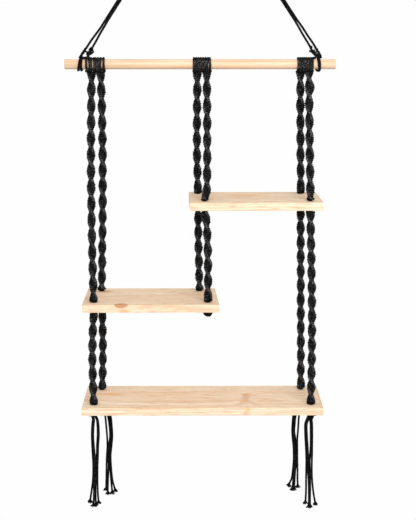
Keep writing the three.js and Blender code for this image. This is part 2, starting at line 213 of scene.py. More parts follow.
class Strands:
    """Cords gathered into one mesh. The UV map "lay" runs once round a cord and along its length,
    and a float attribute on the points holds painted light: 1 is a painted highlight where a knotted cord
    turns at the rope's edge, and lower levels paint shade."""

    def __init__(self):
        self.points = []
        self.faces = []
        self.lays = []
        self.painted_light_levels = []

    def cord(self, path, radius=CORD_RADIUS, sides=CORD_SIDES, plied=True, sizes=None, normals=None,
             painted_light_levels=None):
        start = len(self.points)
        runs = []
        run = seeded.random() * PLY_PITCH
        normal = None
        for i, point in enumerate(path):
            before = path[max(i - 1, 0)]
            after = path[min(i + 1, len(path) - 1)]
            along = (after - before).normalized()
            run += (point - before).length
            runs.append(run * MM)
            if normals:
                normal = normals[i]
            elif normal is None:
                normal = along.orthogonal()
            normal = (normal - along * normal.dot(along)).normalized()
            self.ring(point, normal, along.cross(normal), sizes[i] if sizes else (radius, radius),
                      sides, run if plied else None)
            self.painted_light_levels += [painted_light_levels[i] if painted_light_levels else PAINTED_LIGHT_ELSEWHERE] * sides
        self.skin(start, runs, sides)
        for end, inner in ((0, 1), (len(path) - 1, len(path) - 2)):
            outward = (path[end] - path[inner]).normalized()
            self.cap(start, end, path[end] + outward * radius * END_CAP_SHARE, sides, runs[end], end == 0)

    def ring(self, point, side, up, size, sides, run):
        for s in range(sides):
            angle = 2 * math.pi * s / sides
            swell = 1.0
            if run is not None:
                lobe = math.cos(PLY_COUNT / 2 * (angle - 2 * math.pi * run / PLY_PITCH))
                swell = 1 - PLY_DEPTH * (1 - abs(lobe) ** PLY_ROUNDNESS)
            self.points.append(point + side * (size[0] * swell * math.cos(angle))
                               + up * (size[1] * swell * math.sin(angle)))

    def skin(self, start, runs, sides):
        for r in range(len(runs) - 1):
            for s in range(sides):
                a = start + r * sides + s
                b = start + r * sides + (s + 1) % sides
                self.faces.append((a, b, b + sides, a + sides))
                u, v = s / sides, (s + 1) / sides
                self.lays += [(u, runs[r]), (v, runs[r]), (v, runs[r + 1]), (u, runs[r + 1])]

    def cap(self, start, ring, tip, sides, run, first):
        self.points.append(tip)
        self.painted_light_levels.append(PAINTED_LIGHT_ELSEWHERE)
        top = len(self.points) - 1
        for s in range(sides):
            a = start + ring * sides + s
            b = start + ring * sides + (s + 1) % sides
            self.faces.append((top, b, a) if first else (top, a, b))
            self.lays += [(s / sides, run)] * 3

    def piece(self, name, body, material, nodes):
        mesh = bpy.data.meshes.new(name)
        mesh.from_pydata([place(point) for point in self.points], [], self.faces)
        lay = mesh.uv_layers.new(name="lay")
        lay.data.foreach_set("uv", [value for pair in self.lays for value in pair])
        painted_light = mesh.attributes.new("painted_light", "FLOAT", "POINT")
        painted_light.data.foreach_set("value", self.painted_light_levels)
        mesh.polygons.foreach_set("use_smooth", [True] * len(mesh.polygons))
        mesh.materials.append(material)
        mesh.update()
        return settle(name, mesh, body, nodes)


def settle(name, mesh, body, nodes):
    piece = bpy.data.objects.new(name, mesh)
    bpy.context.scene.collection.objects.link(piece)
    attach(piece, body)
    if nodes:
        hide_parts(*nodes)
    return piece


# Materials
def colour(red, green, blue):
    """An sRGB colour, each part from 0 to 255, as linear light."""
    def linear(value):
        value = value / 255
        return value / 12.92 if value <= 0.04045 else ((value + 0.055) / 1.055) ** 2.4
    return (linear(red), linear(green), linear(blue), 1.0)


# The sockets of a colour mix node
MIX_SHARE, MIX_FIRST, MIX_SECOND = 0, 6, 7
MIX_RESULT = 2


class Shader:
    """A material whose nodes end in one Principled BSDF."""

    def __init__(self, name, settings):
        self.material = bpy.data.materials.new(name)
        self.material.use_nodes = True
        self.tree = self.material.node_tree
        self.tree.nodes.clear()
        output = self.tree.nodes.new("ShaderNodeOutputMaterial")
        self.surface = self.tree.nodes.new("ShaderNodeBsdfPrincipled")
        self.tree.links.new(self.surface.outputs[0], output.inputs["Surface"])
        for key, value in settings.items():
            self.surface.inputs[key].default_value = value

    def put(self, socket, value):
        if isinstance(value, bpy.types.NodeSocket):
            self.tree.links.new(value, socket)
        else:
            socket.default_value = value

    def add(self, kind, *values, **settings):
        node = self.tree.nodes.new(kind)
        for key, value in settings.items():
            setattr(node, key, value)
        for socket, value in zip(node.inputs, values):
            if value is not None:
                self.put(socket, value)
        return node

    def math(self, operation, *values):
        return self.add("ShaderNodeMath", *values, operation=operation).outputs[0]

    def vector(self, operation, *values):
        node = self.add("ShaderNodeVectorMath", *values, operation=operation)
        return node.outputs["Value" if operation in ("LENGTH", "DOT_PRODUCT") else "Vector"]

    def mix(self, share, first, second):
        node = self.tree.nodes.new("ShaderNodeMix")
        node.data_type = "RGBA"
        self.put(node.inputs[MIX_SHARE], share)
        self.put(node.inputs[MIX_FIRST], first)
        self.put(node.inputs[MIX_SECOND], second)
        return node.outputs[MIX_RESULT]

    def noise(self, vector, scale, detail, rough):
        node = self.add("ShaderNodeTexNoise", vector)
        node.inputs["Scale"].default_value = scale
        node.inputs["Detail"].default_value = detail
        node.inputs["Roughness"].default_value = rough
        return node.outputs["Fac"]

    def grain(self, vector, stretch, detail, rough):
        """Noise that is drawn out along the wood."""
        return self.noise(self.vector("MULTIPLY", vector, stretch), 1.0, detail, rough)

    def reach(self, vector, spot, size):
        """The distance from a spot, where 1 is at the spot's half sizes."""
        return self.vector("LENGTH", self.vector("DIVIDE", self.vector("SUBTRACT", vector, spot), size))

    def fit(self, value, low, high, out_low=0.0, out_high=1.0):
        node = self.add("ShaderNodeMapRange", value, low, high, out_low, out_high)
        node.interpolation_type = "SMOOTHSTEP"
        return node.outputs[0]

    def bump(self, height, strength, distance):
        node = self.tree.nodes.new("ShaderNodeBump")
        node.inputs["Strength"].default_value = strength
        node.inputs["Distance"].default_value = distance
        self.put(node.inputs["Height"], height)
        self.tree.links.new(node.outputs[0], self.surface.inputs["Normal"])


# Cotton: a noise is [scale, detail, roughness]; a fit is a value's low and high and what they become
CORD_SURFACE = {"Roughness": 0.85, "Specular IOR Level": 0.04}
FIBRE_TURNS = 6.0
FIBRE_RUN = 260.0
FIBRE_NOISE = (2.2, 4.0, 0.7)
FIBRE_FIT = (0.4, 0.75, 0.0, 0.2)
PATCH_NOISE = (90.0, 3.0, 0.55)
PATCH_FIT = (0.3, 0.6, 0.35, 1.0)
MOTTLE_NOISE = (430.0, 3.0, 0.75)
MOTTLE_FIT = (0.51, 0.6)
MOTTLE_TONE = 0.95
FUZZ_NOISE = (900.0, 2.0, 0.55)
# Painted highlight and shade: the tone is scaled by each point's painted light level times the gain, plus
# the base
PAINTED_LIGHT_GAIN = 1.9
PAINTED_LIGHT_BASE = 0.4
FIBRE_RELIEF = 0.5
FUZZ_RELIEF = 0.25
PLY_RELIEF = 0.5
CORD_BUMP = (0.6, 0.0005)


def ply_phase(shader):
    """How many plies round its cord a place lies, and how far along the cord."""
    lay = shader.add("ShaderNodeUVMap", uv_map="lay").outputs[0]
    split = shader.add("ShaderNodeSeparateXYZ", lay)
    turn = shader.math("MULTIPLY", split.outputs["X"], float(PLY_COUNT))
    wound = shader.math("MULTIPLY", split.outputs["Y"], -PLY_COUNT / (PLY_PITCH * MM))
    return shader.math("ADD", turn, wound), split.outputs["Y"]


def worn_tone(shader, where):
    """Light flecks, more of them in some patches than in others."""
    mottle = shader.fit(shader.noise(where, *MOTTLE_NOISE), *MOTTLE_FIT)
    patches = shader.fit(shader.noise(where, *PATCH_NOISE), *PATCH_FIT)
    return shader.math("MULTIPLY", shader.math("MULTIPLY", mottle, patches), MOTTLE_TONE)


def cord_material(name, dark, light, plied_mesh):
    """Matt black cotton: fibres that run with the plies, and the plies where the mesh lacks them."""
    shader = Shader(name, CORD_SURFACE)
    where = shader.add("ShaderNodeTexCoord").outputs["Object"]
    phase, run = ply_phase(shader)
    fibre_place = shader.add("ShaderNodeCombineXYZ", shader.math("MULTIPLY", phase, FIBRE_TURNS),
                             shader.math("MULTIPLY", run, FIBRE_RUN))
    fibres = shader.noise(fibre_place.outputs[0], *FIBRE_NOISE)
    tone = shader.math("ADD", worn_tone(shader, where), shader.fit(fibres, *FIBRE_FIT))
    # Painted highlight and painted shade: each point's level lightens a knotted rope's edges and darkens
    # its bars and a hitch's top
    painted_light = shader.add("ShaderNodeAttribute", attribute_name="painted_light").outputs["Fac"]
    lift = shader.math("ADD", shader.math("MULTIPLY", painted_light, PAINTED_LIGHT_GAIN), PAINTED_LIGHT_BASE)
    lightness = shader.math("MULTIPLY", tone, lift)
    shader.put(shader.surface.inputs["Base Color"], shader.mix(lightness, dark, light))
    fuzz = shader.noise(where, *FUZZ_NOISE)
    height = shader.math("ADD", shader.math("MULTIPLY", fibres, FIBRE_RELIEF),
                         shader.math("MULTIPLY", fuzz, FUZZ_RELIEF))
    if not plied_mesh:
        ply = shader.math("SINE", shader.math("MULTIPLY", phase, 2 * math.pi))
        height = shader.math("ADD", height, shader.math("MULTIPLY", ply, PLY_RELIEF))
    shader.bump(height, *CORD_BUMP)
    return shader.material


plied = cord_material("black_cotton_cord", colour(6, 6, 7), colour(52, 52, 53), True)
knotted = cord_material("black_cotton_knotted_cord", colour(5, 5, 6), colour(104, 104, 105), False)
hitched = cord_material("black_cotton_hitched_cord", colour(5, 5, 6), colour(96, 95, 92), True)


# Wood: a grain is [its scales along, across and up the wood, detail, roughness]
RING_WIDTH = 0.0042
RING_PUSH = 0.013
RING_PUSH_REACH = (0.6, 3.0)
RING_SWAY = 0.05
LATE_START = 0.35
LATE_PEAK = 0.86
LATE_TONE = 0.42
LATE_RELIEF = -0.4
SWAY_GRAIN = ((1.6, 9.0, 9.0), 2.0, 0.55)
BROAD_GRAIN = ((3.0, 34.0, 34.0), 3.0, 0.55)
BROAD_FIT = (0.3, 0.7)
FINE_GRAIN = ((9.0, 420.0, 420.0), 4.0, 0.65)
FINE_FIT = (0.45, 0.8, 0.0, 0.35)
STREAK_GRAIN = ((26.0, 210.0, 210.0), 4.0, 0.7)
STREAK_FIT = (0.46, 0.7, 0.0, 0.62)
FLAME_FIT = (0.3, 1.3, 0.75, 0.0)
KNOT_RINGS = 3.2
KNOT_RING_FIT = (0.2, 0.9)
KNOT_EDGE = (0.8, 1.05)
END_GRAIN_FIT = (0.6, 0.9, 0.0, 0.5)
PINE_SURFACE = {"Roughness": 0.62, "Specular IOR Level": 0.3}
PINE_BUMP = (0.25, 0.0002)
PINE_PALE = colour(255, 235, 207)
PINE_MID = colour(249, 220, 187)
PINE_DARK = colour(222, 178, 138)
PINE_STREAK = colour(208, 156, 122)
PINE_KNOT = colour(222, 158, 112)
PINE_KNOT_DARK = colour(170, 100, 66)
PINE_FLAME = colour(240, 184, 128)

DOWEL_STREAKS = ((5.0, 160.0, 160.0), 3.0, 0.55)
DOWEL_STREAK_FIT = (0.3, 0.7)
DOWEL_PORES = ((60.0, 1400.0, 1400.0), 3.0, 0.55)
DOWEL_PORE_FIT = (0.52, 0.75, 0.0, 0.4)
DOWEL_SURFACE = {"Roughness": 0.36}
DOWEL_BUMP = (0.2, 0.00015)
DOWEL_PALE = colour(238, 207, 174)
DOWEL_MID = colour(221, 182, 144)
DOWEL_DARK = colour(190, 143, 106)


def late_wood(shader, local, shifted, pith, spots):
    """The dark part of each ring. The rings lie round the pith, sway, and give way to the knots."""
    sway = shader.grain(shifted, *SWAY_GRAIN)
    pushed = shader.math("MULTIPLY", shader.math("SUBTRACT", sway, 0.5), RING_SWAY)
    for spot, darkness in spots:
        push = shader.fit(spot, *RING_PUSH_REACH, RING_PUSH * darkness, 0.0)
        pushed = shader.math("ADD", pushed, push)
    split = shader.add("ShaderNodeSeparateXYZ", local)
    across = shader.math("SUBTRACT", split.outputs["Y"], pith[0])
    depth = shader.math("SUBTRACT", split.outputs["Z"], pith[1])
    radius = shader.math("SQRT", shader.math("ADD", shader.math("MULTIPLY", across, across),
                                             shader.math("MULTIPLY", depth, depth)))
    rings = shader.math("DIVIDE", shader.math("ADD", radius, pushed), RING_WIDTH)
    part = shader.math("FRACT", rings)
    return shader.math("MULTIPLY", shader.fit(part, LATE_START, LATE_PEAK),
                       shader.fit(part, LATE_PEAK, 1.0, 1.0, 0.0))


def pine_material(board, pith, shift, flames, knots):
    """Pine: rings round a pith below the board, streaks and fibres along it, and spots of its own.
    A flame is [its place, its half sizes], and a knot has how dark it is too, all in metres."""
    shader = Shader(f"pine_{board}", PINE_SURFACE)
    texture = shader.add("ShaderNodeTexCoord")
    low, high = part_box(f"{board}_board")
    middle = (Vector(low) + Vector(high)) / 2
    local = shader.vector("SUBTRACT", texture.outputs["Object"], tuple(middle))
    shifted = shader.vector("ADD", local, shift)
    spots = [(shader.reach(local, spot, size), darkness) for spot, size, darkness in knots]
    late = late_wood(shader, local, shifted, pith, spots)
    fibres = shader.grain(local, *FINE_GRAIN)
    broad = shader.grain(shifted, *BROAD_GRAIN)
    streaks = shader.grain(shifted, *STREAK_GRAIN)
    tone = shader.mix(shader.fit(broad, *BROAD_FIT), PINE_PALE, PINE_MID)
    tone = shader.mix(shader.math("MULTIPLY", late, LATE_TONE), tone, PINE_DARK)
    tone = shader.mix(shader.fit(fibres, *FINE_FIT), tone, PINE_DARK)
    tone = shader.mix(shader.fit(streaks, *STREAK_FIT), tone, PINE_STREAK)
    for spot, size in flames:
        tone = shader.mix(shader.fit(shader.reach(local, spot, size), *FLAME_FIT), tone, PINE_FLAME)
    for spot, darkness in spots:
        rings = shader.math("FRACT", shader.math("MULTIPLY", spot, KNOT_RINGS))
        core = shader.mix(shader.fit(rings, *KNOT_RING_FIT), PINE_KNOT, PINE_KNOT_DARK)
        tone = shader.mix(shader.fit(spot, *KNOT_EDGE, darkness, 0.0), tone, core)
    facing = shader.add("ShaderNodeSeparateXYZ", texture.outputs["Normal"])
    end = shader.fit(shader.math("ABSOLUTE", facing.outputs["X"]), *END_GRAIN_FIT)
    shader.put(shader.surface.inputs["Base Color"], shader.mix(end, tone, PINE_FLAME))
    shader.bump(shader.math("ADD", fibres, shader.math("MULTIPLY", late, LATE_RELIEF)), *PINE_BUMP)
    return shader.material


def dowel_material():
    shader = Shader("turned_dowel_wood", DOWEL_SURFACE)
    where = shader.add("ShaderNodeTexCoord").outputs["Object"]
    local = shader.vector("SUBTRACT", where, tuple(DOWEL_CENTRE))
    streaks = shader.grain(local, *DOWEL_STREAKS)
    pores = shader.grain(local, *DOWEL_PORES)
    tone = shader.mix(shader.fit(streaks, *DOWEL_STREAK_FIT), DOWEL_PALE, DOWEL_MID)
    tone = shader.mix(shader.fit(pores, *DOWEL_PORE_FIT), tone, DOWEL_DARK)
    shader.put(shader.surface.inputs["Base Color"], tone)
    shader.bump(pores, *DOWEL_BUMP)
    return shader.material


# Boards
def outline_corners(node):
    """The four corners of a board from above, as the CAD solid has them."""
    points = [(vertex.co - DOWEL_CENTRE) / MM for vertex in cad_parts[node].data.vertices]
    front = min(point.y for point in points)
    back = max(point.y for point in points)
    near = [point.x for point in points if point.y - front < BOARD_EDGE]
    far = [point.x for point in points if back - point.y < BOARD_EDGE]
    return [(min(near), front), (max(near), front), (max(far), back), (min(far), back)]


def flat_spline(curve, points):
    spline = curve.splines.new("POLY")
    spline.points.add(len(points) - 1)
    for spot, (x, y) in zip(spline.points, points):
        spot.co = (x * MM, y * MM, 0, 1)
    spline.use_cyclic_u = True


def make_board(name, material):
    low, high = box_mm(f"{name}_board")
    curve = bpy.data.curves.new(f"{name}_outline", "CURVE")
    curve.dimensions = "2D"
    curve.fill_mode = "BOTH"
    curve.extrude = ((high.z - low.z) / 2 - BOARD_EDGE) * MM
    curve.bevel_depth = BOARD_EDGE * MM
    curve.bevel_resolution = BOARD_EDGE_STEPS
    curve.offset = -BOARD_EDGE * MM
    flat_spline(curve, outline_corners(f"{name}_board"))
    for hole in HOLES:
        middle = centre_mm(f"{name}_board_{hole}_knot")
        turns = [-2 * math.pi * s / HOLE_EDGE_SIDES for s in range(HOLE_EDGE_SIDES)]
        flat_spline(curve, [(middle.x + HOLE_RADIUS * math.cos(turn),
                             middle.y + HOLE_RADIUS * math.sin(turn)) for turn in turns])
    drawn = bpy.data.objects.new(f"{name}_outline", curve)
    bpy.context.scene.collection.objects.link(drawn)
    mesh = bpy.data.meshes.new_from_object(drawn.evaluated_get(bpy.context.evaluated_depsgraph_get()))
    bpy.data.objects.remove(drawn)
    for vertex in mesh.vertices:
        vertex.co += place((0, 0, (low.z + high.z) / 2))
    mesh.materials.clear()
    mesh.materials.append(material)
    mesh.polygons.foreach_set("use_smooth", [True] * len(mesh.polygons))
    mesh.set_sharp_from_angle(angle=math.radians(BOARD_SHARP_DEGREES))
    settle(f"{name}_shelf_board", mesh, f"{name}_board", [f"{name}_board"])


# Each board's figure, in metres from the board's middle
BOARD_FIGURES = {
    "top": {
        "pith": (-0.03, -0.075),
        "shift": (1.3, 0.2, 0.1),
        "flames": [((-0.02, 0.03, 0.008), (0.05, 0.016, 0.01)), ((0.132, 0.0, 0.0), (0.003, 0.08, 0.02))],
        "knots": [],
    },
    "middle": {
        "pith": (0.02, -0.06),
        "shift": (4.1, 0.7, 0.3),
        "flames": [((-0.054, -0.081, -0.006), (0.013, 0.012, 0.006)),
                   ((-0.098, 0.046, 0.008), (0.016, 0.012, 0.01)),
                   ((0.137, 0.0, 0.0), (0.003, 0.08, 0.02))],
        "knots": [((-0.0595, -0.082, 0.0084), (0.0146, 0.019, 0.0074), 0.85),
                  ((-0.1, 0.05, 0.008), (0.011, 0.009, 0.01), 0.4)],
    },
    "bottom": {
        "pith": (-0.02, -0.085),
        "shift": (7.7, 0.4, 0.9),
        "flames": [((0.0875, -0.08, -0.004), (0.005, 0.02, 0.006)),
                   ((0.0925, -0.08, 0.004), (0.006, 0.02, 0.006)),
                   ((0.086, -0.032, 0.008), (0.012, 0.01, 0.006)),
                   ((0.096, 0.012, 0.008), (0.014, 0.012, 0.006)),
                   ((-0.19, 0.02, 0.008), (0.03, 0.012, 0.008)),
                   ((0.245, 0.0, 0.0), (0.003, 0.08, 0.02))],
        "knots": [((0.0905, -0.006, 0.004), (0.011, 0.03, 0.008), 0.35)],
    },
}

for board_name, board_figure in BOARD_FIGURES.items():
    make_board(board_name, pine_material(board_name, **board_figure))


# Dowel
def make_dowel():
    rows = [(DOWEL_RADIUS - DOWEL_CHAMFER, -DOWEL_HALF)]
    for step in range(1, DOWEL_CHAMFER_STEPS + 1):
        turn = step * math.pi / (2 * DOWEL_CHAMFER_STEPS)
        rows.append((DOWEL_RADIUS - DOWEL_CHAMFER * (1 - math.sin(turn)),
                     -DOWEL_HALF + DOWEL_CHAMFER * (1 - math.cos(turn))))
    rows += [(radius, -x) for radius, x in reversed(rows)]
    points, faces = [], []
    for radius, x in rows:
        for s in range(DOWEL_SIDES):
            angle = 2 * math.pi * s / DOWEL_SIDES
            points.append(place((x, radius * math.cos(angle), radius * math.sin(angle))))
    for r in range(len(rows) - 1):
        for s in range(DOWEL_SIDES):
            a, b = r * DOWEL_SIDES + s, r * DOWEL_SIDES + (s + 1) % DOWEL_SIDES
            faces.append((a, b, b + DOWEL_SIDES, a + DOWEL_SIDES))
    faces.append(tuple(reversed(range(DOWEL_SIDES))))
    faces.append(tuple(range((len(rows) - 1) * DOWEL_SIDES, len(rows) * DOWEL_SIDES)))
    mesh = bpy.data.meshes.new("dowel_stick")
    mesh.from_pydata(points, [], faces)
    mesh.polygons.foreach_set("use_smooth", [True] * len(mesh.polygons))
    mesh.materials.append(dowel_material())
    mesh.set_sharp_from_angle(angle=math.radians(DOWEL_SHARP_DEGREES))
    settle("dowel_stick", mesh, "dowel", ["dowel"])


make_dowel()


# Spiral ropes: each one's first waist below its top, the height of half a turn,
# how far it bows sideways, and how low on it the bow sits (below 1 is high)
ROPE_TWISTS = {
    "left_front_upper": (17.8, 32.4, -3.0, 1.0),
    "left_back_upper": (19.7, 32.7, 3.3, 0.8),
    "centre_back_upper": (20.0, 33.8, -1.8, 1.3),
    "centre_front_upper": (18.0, 33.2, 0.8, 1.0),
    "right_back_upper": (18.5, 33.9, -0.3, 1.0),
    "right_front_upper": (14.5, 33.2, -0.4, 1.0),
    "left_front_lower": (22.6, 29.9, -3.1, 0.9),
    "left_back_lower": (17.5, 30.9, 1.7, 1.0),
    "centre_back_lower": (14.2, 30.8, -0.8, 1.0),
    "centre_front_lower": (29.7, 31.9, 3.3, 0.6),
    "right_back_lower": (6.3, 30.55, 0.1, 1.0),
    "right_front_lower": (20.5, 29.95, 2.7, 1.1),
}
LATE_BENDING_ROPES = ("centre_front_upper",)


class Band:
    """The turning flat band that a rope follows."""

    def __init__(self, name, top, bottom):
        low, high = box_mm(f"{name}_rope")
        self.bends_late = name in LATE_BENDING_ROPES
        self.start = centre_mm(top)
        self.start.z = high.z
        self.end = centre_mm(bottom)
        self.end.z = low.z
        self.length = high.z - low.z
        self.first, self.half_turn, self.bow, self.bow_skew = ROPE_TWISTS[name]

    def spot(self, depth, wide, thick):
        centre = self.start.lerp(self.end, depth / self.length)
        if self.bends_late:
            bend = self.near_end(depth, LATE_BEND, LATE_BEND)
            centre.x = self.start.x + (self.end.x - self.start.x) * bend
        share = min(1.0, max(0.0, depth / self.length))
        centre.x += self.bow * math.sin(math.pi * share ** self.bow_skew)
        angle = math.pi / 2 + math.pi * (depth - self.first) / self.half_turn
        across = Vector((math.cos(angle), math.sin(angle), 0))
        through = Vector((-math.sin(angle), math.cos(angle), 0))
        return centre + across * wide + through * thick, across, through

    def flare(self, depth):
        return TOP_FLARE_SHARE + (1 - TOP_FLARE_SHARE) * smooth(depth / TOP_FLARE)

    def near_end(self, depth, height, rise):
        """0 until a height above the rope's end, then up to 1 within the rise."""
        return smooth((depth - self.length + height) / rise)

    def foot_taper(self, depth):
        return 1 - FOOT_TAPER * self.near_end(depth, FOOT_TAPER_HEIGHT, FOOT_TAPER_HEIGHT)

    def foot_spread(self, depth):
        return 1 + FOOT_SPREAD * self.near_end(depth, FOOT_SPREAD_HEIGHT, FOOT_SPREAD_RISE)


def knotted_cord(band, phase):
    """The path of one of the two cords that are knotted round the others, down to the board."""
    pitch = band.half_turn / KNOTS_PER_HALF_TURN
    knots = math.ceil(band.length / pitch)
    uneven = [(seeded.uniform(-UNEVEN, UNEVEN), seeded.uniform(-UNEVEN, UNEVEN)) for _ in range(knots + 2)]
    rows = []
    for i in range(knots * ROPE_STEPS_PER_KNOT + 1):
        turn = i / ROPE_STEPS_PER_KNOT * math.pi
        depth = pitch / math.pi * (turn + LEVEL_SHARE / 2 * math.sin(2 * turn))
        if depth > band.length - FOOT_CLEARANCE:
            break
        share = i / ROPE_STEPS_PER_KNOT % 1
        before, after = uneven[i // ROPE_STEPS_PER_KNOT:][:2]
        swell = [1 + a + (b - a) * smooth(share) for a, b in zip(before, after)]
        wide = signed_power(math.cos(turn + phase), WIDE_POWER) * swell[0] * band.flare(depth)
        thick = signed_power(math.sin(turn + phase), THICK_POWER) * swell[1] * band.foot_spread(depth)
        wide *= band.foot_taper(depth)
        thick *= band.foot_taper(depth)
        point, across, through = band.spot(depth, ROPE_HALF_WIDTH * wide, ROPE_HALF_THICKNESS * thick)
        normal = across * (wide / ROPE_HALF_WIDTH) + through * (thick / ROPE_HALF_THICKNESS)
        bar = abs(math.sin(turn)) ** BAR_POWER
        size = (EDGE_RADIUS + (BAR_HALF_DEPTH - EDGE_RADIUS) * bar,
                EDGE_RADIUS + (BAR_HALF_HEIGHT - EDGE_RADIUS) * bar)
        # The last value is the painted light: a painted highlight where the cord turns at the rope's edge,
        # painted shade across the bars
        rows.append((depth, point, normal, size, max(0.0, 1 - PAINTED_HIGHLIGHT_NARROW * bar)))
    return rows


def lay_knotted(strands, rows):
    strands.cord([row[1] for row in rows], sides=ROPE_CORD_SIDES, plied=False,
                 sizes=[row[3] for row in rows], normals=[row[2] for row in rows],
                 painted_light_levels=[row[4] for row in rows])


def filler_cord(strands, band, side):
    steps = math.ceil(band.length / FILLER_STEP)
    path = [band.spot(i / steps * band.length, side * FILLER_PLACE, 0)[0] for i in range(steps + 1)]
    strands.cord(path, radius=FILLER_RADIUS, sides=ROPE_CORD_SIDES, plied=False)


# The holes that each rope comes down to: its upper stretch to the first, its lower one to the second
ROPE_ENDS = {
    "left_front": ("middle_board_left_front", "bottom_board_left_front"),
    "left_back": ("middle_board_left_back", "bottom_board_left_back"),
    "centre_back": ("top_board_left_back", "middle_board_right_back"),
    "centre_front": ("top_board_left_front", "middle_board_right_front"),
    "right_back": ("top_board_right_back", "bottom_board_right_back"),
    "right_front": ("top_board_right_front", "bottom_board_right_front"),
}
# The ropes that hang on a lift body
LIFTED = ("left_back_upper", "centre_back_upper", "left_back_lower")


# The lowest turns of each rope lie on its board and ride with it
FEET = {}


def lay_feet(strands, node):
    middle = centre_mm(node)
    for rows in FEET[node]:
        depth, point, normal = rows[-1][:3]
        rows = list(rows)
        for inward, down in ((FOOT_INWARD, 0.0), (FOOT_TUCK_INWARD, FOOT_TUCK)):
            spot = Vector((middle.x, middle.y, point.z)).lerp(point, inward)
            spot.z = point.z - down
            # The foot's tucked turns get the painted shade of level 0
            rows.append((depth + down, spot, normal, (HOLE_CORD_RADIUS, HOLE_CORD_RADIUS), 0.0))
        lay_knotted(strands, rows)


# A strand that has come loose beside a rope: its places from the rope's top
LOOSE_STRANDS = {
    "right_front_upper": [(1.0, -3.0, -8.0), (4.0, -3.5, -16.0), (9.4, -4.0, -27.0), (9.6, -3.5, -34.0),
                          (6.5, -2.0, -42.0), (2.0, -1.0, -49.0)],
    "centre_front_lower": [(1.0, -2.0, -9.0), (-4.2, -3.5, -5.0), (-6.2, -3.5, -1.5), (-3.0, -2.0, 0.5)],
}
LOOSE_RADIUS = 1.7


def make_rope(name, top, bottom, body):
    band = Band(name, top, bottom)
    strands = Strands()
    split = band.length - FOOT_HEIGHT
    FEET[bottom] = []
    for phase in (0.0, math.pi):
        rows = knotted_cord(band, phase)
        upper = [row for row in rows if row[0] <= split]
        lay_knotted(strands, upper)
        foot = [upper[-1]] + [row for row in rows if row[0] > split]
        FEET[bottom].append(foot)
    filler_cord(strands, band, 1)
    filler_cord(strands, band, -1)
    if name in LOOSE_STRANDS:
        loose = [band.start + Vector(spot) for spot in LOOSE_STRANDS[name]]
        strands.cord(catmull_rom(loose), radius=LOOSE_RADIUS, sides=ROPE_CORD_SIDES)
    rope = strands.piece(f"{name}_spiral", body, knotted, [f"{name}_rope"])
    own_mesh(rope)


def hang_ropes(level):
    """The six ropes' upper stretches (level 0) or lower ones (level 1)."""
    stretch = ("upper", "lower")[level]
    for rope, ends in ROPE_ENDS.items():
        side = rope.split("_")[0]
        name = f"{rope}_{stretch}"
        kind = "lift" if name in LIFTED else "ropes"
        stops = [f"{rope}_hitch"] + [f"{end}_knot" for end in ends]
        make_rope(name, stops[level], stops[level + 1], f"{side}_{stretch}_{kind}")


hang_ropes(0)
hang_ropes(1)


# Knots under the boards
HOLE_PLACES = ((-1, -1), (-1, 1), (1, -1), (1, 1))


def coil(centre, reaches, turns, heights, start_angle):
    """Turns about an upright line, with their reach and height at the start and at the end."""
    steps = round(turns * COIL_STEPS_PER_TURN)
    path = []
    for i in range(steps + 1):
        share = i / steps
        angle = start_angle + 2 * math.pi * turns * share
        reach = reaches[0] + (reaches[1] - reaches[0]) * share
        path.append(Vector((centre.x + reach * math.cos(angle), centre.y + reach * math.sin(angle),
                            heights[0] + (heights[1] - heights[0]) * share)))
    return path


class BoardKnot(Strands):
    """A knot under one hole of a board, with the foot of its rope above the board."""

    def __init__(self, board, hole):
        super().__init__()
        self.board = f"{board}_board"
        self.node = f"{board}_board_{hole}_knot"
        low, high = box_mm(self.node)
        self.foot = low.z
        self.top = high.z
        self.middle = centre_mm(self.node)
        self.under = box_mm(self.board)[0].z
        lay_feet(self, self.node)

    def hole_cords(self, bottom):
        for across, depthways in HOLE_PLACES:
            x = self.middle.x + across * HOLE_CORD_PLACE
            y = self.middle.y + depthways * HOLE_CORD_PLACE
            path = [Vector((x, y, z)) for z in (self.top, (self.top + bottom) / 2, bottom)]
            self.cord(path, radius=HOLE_CORD_RADIUS, plied=False)

    def turns_below(self, turns, foot):
        angle = seeded.uniform(0, 2 * math.pi)
        reaches = (KNOT_COIL_RADIUS, KNOT_COIL_RADIUS)
        path = coil(self.middle, reaches, turns, (self.under - COIL_DROP, foot), angle)
        self.cord(path, radius=COIL_CORD_RADIUS)

    def tie(self, name):
        self.piece(name, self.board, plied, [self.node])


def support_knot(board, hole):
    knot = BoardKnot(board, hole)
    knot.hole_cords(knot.foot + SUPPORT_CORDS_RISE)
    knot.turns_below(SUPPORT_COIL_TURNS, knot.foot + SUPPORT_COIL_RISE)
    knot.tie(f"{board}_{hole}_support_knot")


# The end knots: coils [reach, reach at their end, top and foot below the board, first turn], and
# the cords that cross under them
END_CORD_RADIUS = 2.2
END_KNOT_COILS = ((9.0, 8.6, 2.1, 4.8, 2.4), (7.2, 6.0, 5.4, 8.2, 0.6), (3.8, 3.2, 4.0, 9.0, 1.0))
END_KNOT_CROSSINGS = (
    ((-8.6, 1.0, -4.0), (-7.4, -4.6, -7.0), (-1.5, -6.0, -9.4), (4.6, -4.6, -8.8), (7.6, 1.6, -5.4)),
    ((-6.4, 4.0, -7.2), (-2.6, 1.6, -10.4), (2.0, -0.8, -12.0), (5.4, -3.0, -9.6)),
    ((-7.0, -1.4, -7.6), (-3.6, -2.0, -11.0), (0.6, 1.0, -11.8), (4.8, 3.6, -8.6)),
)


